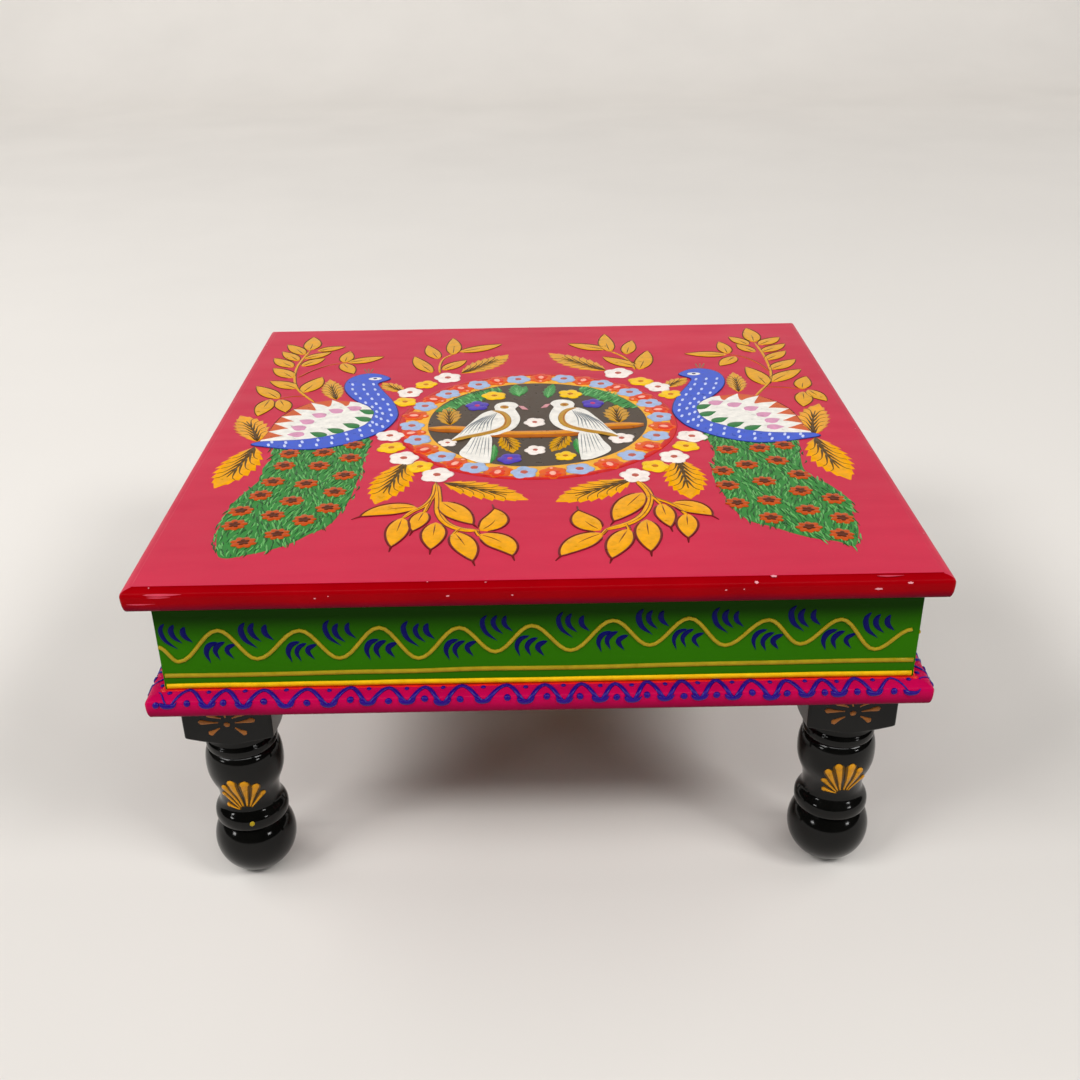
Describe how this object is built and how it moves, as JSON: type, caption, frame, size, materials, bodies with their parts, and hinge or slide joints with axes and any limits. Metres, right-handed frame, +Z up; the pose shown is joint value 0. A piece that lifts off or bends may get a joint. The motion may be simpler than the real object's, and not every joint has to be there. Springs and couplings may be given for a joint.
{
  "type": "bajot low table",
  "caption": "Low square table of painted wood: a planked top with a moulded edge on a boxed apron, a moulded base frame and turned legs with ball feet.",
  "frame": {"origin": "on the floor, under the middle of the table", "axes": "+Z up, -Y towards the front, +X to the right as seen from the front"},
  "size_m": [0.4572, 0.4572, 0.2286],
  "materials": {
    "top_paint": "glossy pink paint with painted ornament",
    "apron_paint": "glossy green paint",
    "moulding_paint": "glossy crimson paint",
    "leg_lacquer": "glossy black lacquer",
    "bare_wood": "planed, unfinished",
    "screw_steel": "plain steel"
  },
  "bodies": {
    "root": {"leg_front_left": "leg_lacquer", "corner_block_front_left": "bare_wood", "leg_screw_front_left": "screw_steel", "block_screw_low_front_left": "screw_steel", "block_screw_high_front_left": "screw_steel", "leg_front_right": "leg_lacquer", "corner_block_front_right": "bare_wood", "leg_screw_front_right": "screw_steel", "block_screw_low_front_right": "screw_steel", "block_screw_high_front_right": "screw_steel", "leg_back_right": "leg_lacquer", "corner_block_back_right": "bare_wood", "leg_screw_back_right": "screw_steel", "block_screw_low_back_right": "screw_steel", "block_screw_high_back_right": "screw_steel", "leg_back_left": "leg_lacquer", "corner_block_back_left": "bare_wood", "leg_screw_back_left": "screw_steel", "block_screw_low_back_left": "screw_steel", "block_screw_high_back_left": "screw_steel", "base_rail_front": "moulding_paint", "rail_screw_front_1": "screw_steel", "rail_screw_front_2": "screw_steel", "base_rail_right": "moulding_paint", "rail_screw_right_1": "screw_steel", "rail_screw_right_2": "screw_steel", "base_rail_back": "moulding_paint", "rail_screw_back_1": "screw_steel", "rail_screw_back_2": "screw_steel", "base_rail_left": "moulding_paint", "rail_screw_left_1": "screw_steel", "rail_screw_left_2": "screw_steel", "apron_front": "apron_paint", "apron_back": "apron_paint", "apron_left": "apron_paint", "cleat_left": "bare_wood", "cleat_screw_left_1": "screw_steel", "cleat_screw_left_2": "screw_steel", "plank_screw_left_1": "screw_steel", "plank_screw_left_2": "screw_steel", "plank_screw_left_3": "screw_steel", "apron_right": "apron_paint", "cleat_right": "bare_wood", "cleat_screw_right_1": "screw_steel", "cleat_screw_right_2": "screw_steel", "plank_screw_right_1": "screw_steel", "plank_screw_right_2": "screw_steel", "plank_screw_right_3": "screw_steel", "top_batten": "bare_wood", "batten_screw_1": "screw_steel", "batten_screw_2": "screw_steel", "batten_screw_3": "screw_steel", "top_plank_front": "top_paint", "top_plank_middle": "top_paint", "top_plank_back": "top_paint"}
  },
  "joints": []
}
